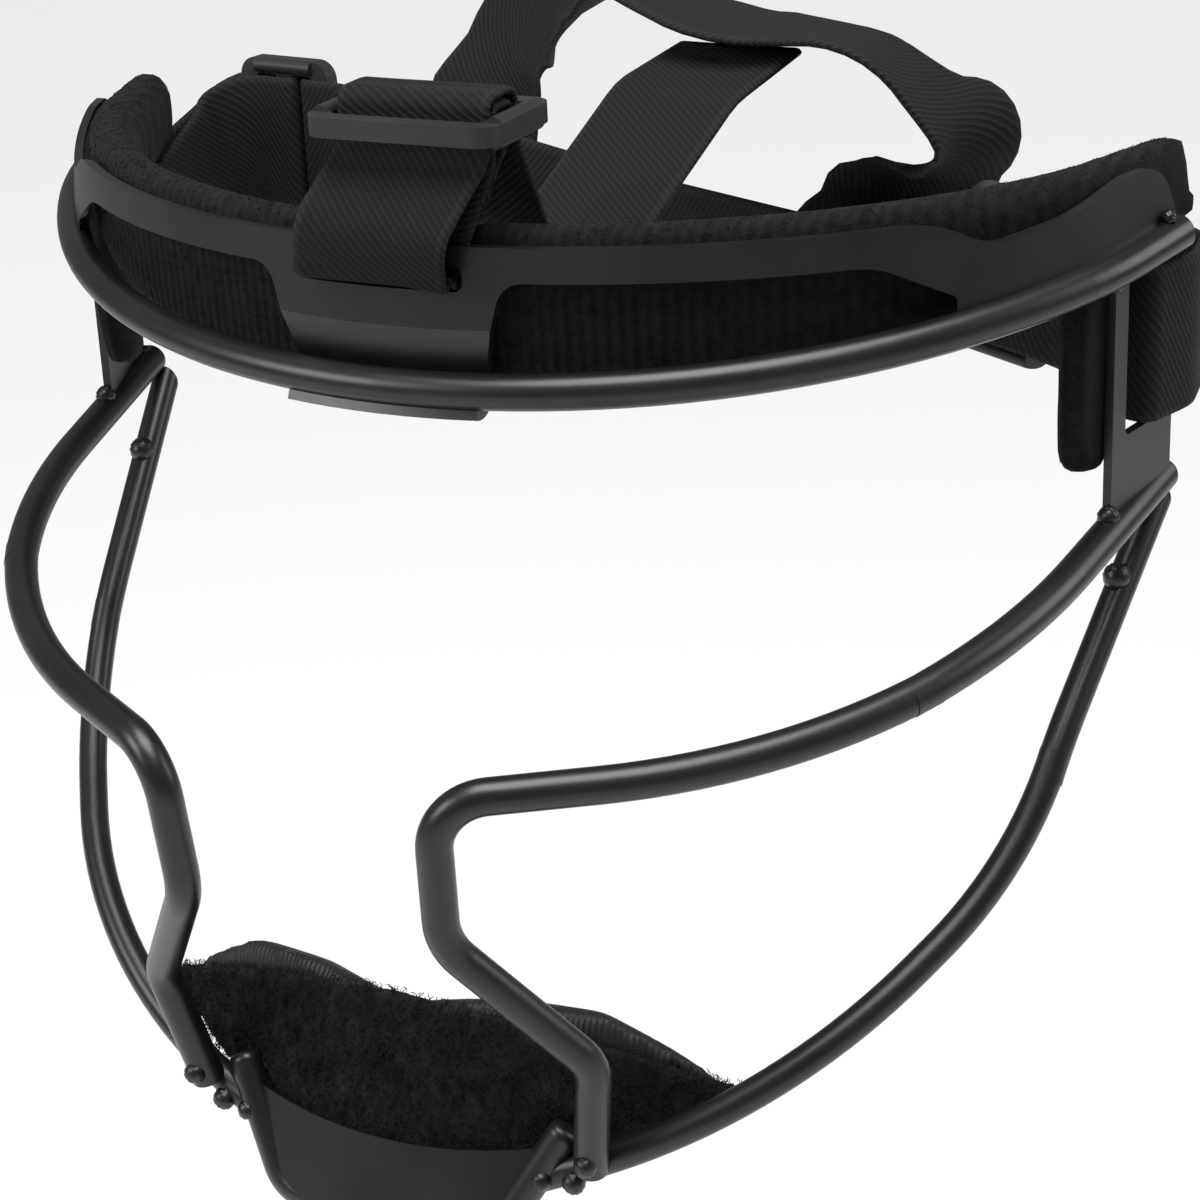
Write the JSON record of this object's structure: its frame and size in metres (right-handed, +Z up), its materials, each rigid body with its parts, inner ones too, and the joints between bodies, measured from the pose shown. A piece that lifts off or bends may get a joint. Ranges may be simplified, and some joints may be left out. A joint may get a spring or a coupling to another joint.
{
  "type": "softball fielder's face guard",
  "caption": "Open steel-wire face guard with a padded brow plate, a padded chin plate and an elastic webbing harness with sliders.",
  "frame": {"origin": "midway between the two temple plates, 5 mm under the front of the brow bar's centre line: where the guard is centred on the wearer's head", "axes": "+Z up, -Y the way the wearer looks, +X to the wearer's left"},
  "size_m": [0.2056, 0.1572, 0.1862],
  "materials": {
    "frame_paint": "satin",
    "weld_paint": "satin",
    "hook_tape": "rough hooks",
    "fleece": "short brushed nap",
    "loop_fibre": "long fuzzy loops",
    "knit": "smooth fine rib knit",
    "webbing": "woven elastic with a diagonal rib",
    "slider_plastic": "fine moulded texture"
  },
  "bodies": {
    "frame": {"brow_bar": "frame_paint", "brow_plate": "frame_paint", "temple_plate_left": "frame_paint", "temple_plate_right": "frame_paint", "cheek_bar_left": "frame_paint", "cheek_bar_right": "frame_paint", "jaw_bar_left": "frame_paint", "jaw_bar_right": "frame_paint", "chin_bar": "frame_paint", "chin_plate": "frame_paint", "weld_beads": "weld_paint", "head_hook_tape": "hook_tape", "chin_hook_tape": "hook_tape", "head_pad": "fleece", "chin_pad_loop_face": "loop_fibre", "chin_pad_cushion": "knit", "top_strap": "webbing", "crown_strap": "webbing", "back_strap": "webbing"},
    "top_slide": {"top_slider": "slider_plastic"},
    "left_slide": {"left_slider": "slider_plastic"},
    "right_slide": {"right_slider": "slider_plastic"}
  },
  "joints": [
    {"name": "top_adjust", "type": "slide", "parent": "frame", "child": "top_slide", "axis": [0.2127, 0.3805, 0.9], "range_m": [-0.01, 0.022], "deforming": ["top_strap"]},
    {"name": "left_adjust", "type": "slide", "parent": "frame", "child": "left_slide", "axis": [0.9988, 0.0499, 0], "range_m": [-0.0015, 0.01], "deforming": ["back_strap"]},
    {"name": "right_adjust", "type": "slide", "parent": "frame", "child": "right_slide", "axis": [-0.9929, 0.1191, 0], "range_m": [-0.009, 0.01], "deforming": ["back_strap"]}
  ]
}
